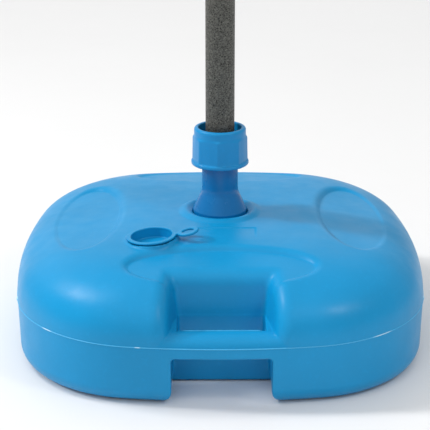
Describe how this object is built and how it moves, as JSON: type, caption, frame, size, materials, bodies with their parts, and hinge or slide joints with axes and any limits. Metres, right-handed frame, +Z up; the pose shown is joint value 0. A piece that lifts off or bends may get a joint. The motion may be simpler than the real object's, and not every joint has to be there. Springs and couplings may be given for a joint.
{
  "type": "tetherball set",
  "caption": "Free-standing tetherball stand: water-filled moulded base with a carrying handle, clamping neck, sectional steel pole and a swivelling cord eye.",
  "frame": {"origin": "on the pole's axis at ground level, at the bottom of the base's feet", "axes": "+Z up along the pole; -Y towards the side with the carrying handle; +X to the right when facing the handle"},
  "size_m": [0.451, 0.451, 1.7156],
  "materials": {
    "base_plastic": "satin blow-moulded polyethylene, sky blue",
    "neck_plastic": "smooth moulded plastic, deeper blue",
    "collar_plastic": "smooth moulded plastic, blue",
    "collet_plastic": "matt black nylon",
    "cap_plastic": "matt black moulded plastic",
    "seal_rubber": "black sheet rubber",
    "pole_coating": "dark grey silver-vein powder coat on steel tube",
    "fastener_steel": "zinc-plated steel",
    "eye_steel": "zinc-plated pressed steel"
  },
  "bodies": {
    "base": {"tank_shell": "base_plastic", "neck_socket": "neck_plastic", "neck_top_seal": "seal_rubber", "neck_bottom_seal": "seal_rubber", "neck_lock_nut": "neck_plastic"},
    "plug": {"fill_plug": "base_plastic"},
    "collet": {"grip_collet": "collet_plastic", "thrust_ring": "collet_plastic"},
    "collar": {"locking_collar": "collar_plastic"},
    "lower_pole": {"pole_lower": "pole_coating", "pole_foot_cap": "cap_plastic"},
    "middle_pole": {"pole_middle": "pole_coating"},
    "upper_pole": {"pole_upper": "pole_coating", "pole_top_cap": "cap_plastic", "cap_screws": "fastener_steel", "swivel_bolt": "fastener_steel", "swivel_lower_washer": "fastener_steel", "swivel_upper_washer": "fastener_steel", "swivel_lock_nut": "fastener_steel"},
    "eye": {"swivel_eye": "eye_steel"}
  },
  "joints": [
    {"name": "plug_lift", "type": "slide", "parent": "base", "child": "plug", "axis": [-0.0785, 0, 0.9969], "range_m": [0, 0.03]},
    {"name": "collet_rise", "type": "slide", "parent": "base", "child": "collet", "axis": [0, 0, 1], "range_m": [0, 0.004]},
    {"name": "collar_turn", "type": "hinge", "parent": "collet", "child": "collar", "pos_m": [0, 0, 0.2064], "axis": [0, 0, 1], "range_deg": [0, 360]},
    {"name": "pole_lift", "type": "slide", "parent": "base", "child": "lower_pole", "axis": [0, 0, 1], "range_m": [0, 0.21]},
    {"name": "middle_pull", "type": "slide", "parent": "lower_pole", "child": "middle_pole", "axis": [0, 0, 1], "range_m": [0, 0.065]},
    {"name": "upper_pull", "type": "slide", "parent": "middle_pole", "child": "upper_pole", "axis": [0, 0, 1], "range_m": [0, 0.065]},
    {"name": "eye_swivel", "type": "hinge", "parent": "upper_pole", "child": "eye", "pos_m": [0, 0, 1.7053], "axis": [0, 0, 1], "continuous": true}
  ],
  "couplings": [
    {"joint": "collet_rise", "follows": "collar_turn", "m_per_rad": 0.0006366}
  ]
}
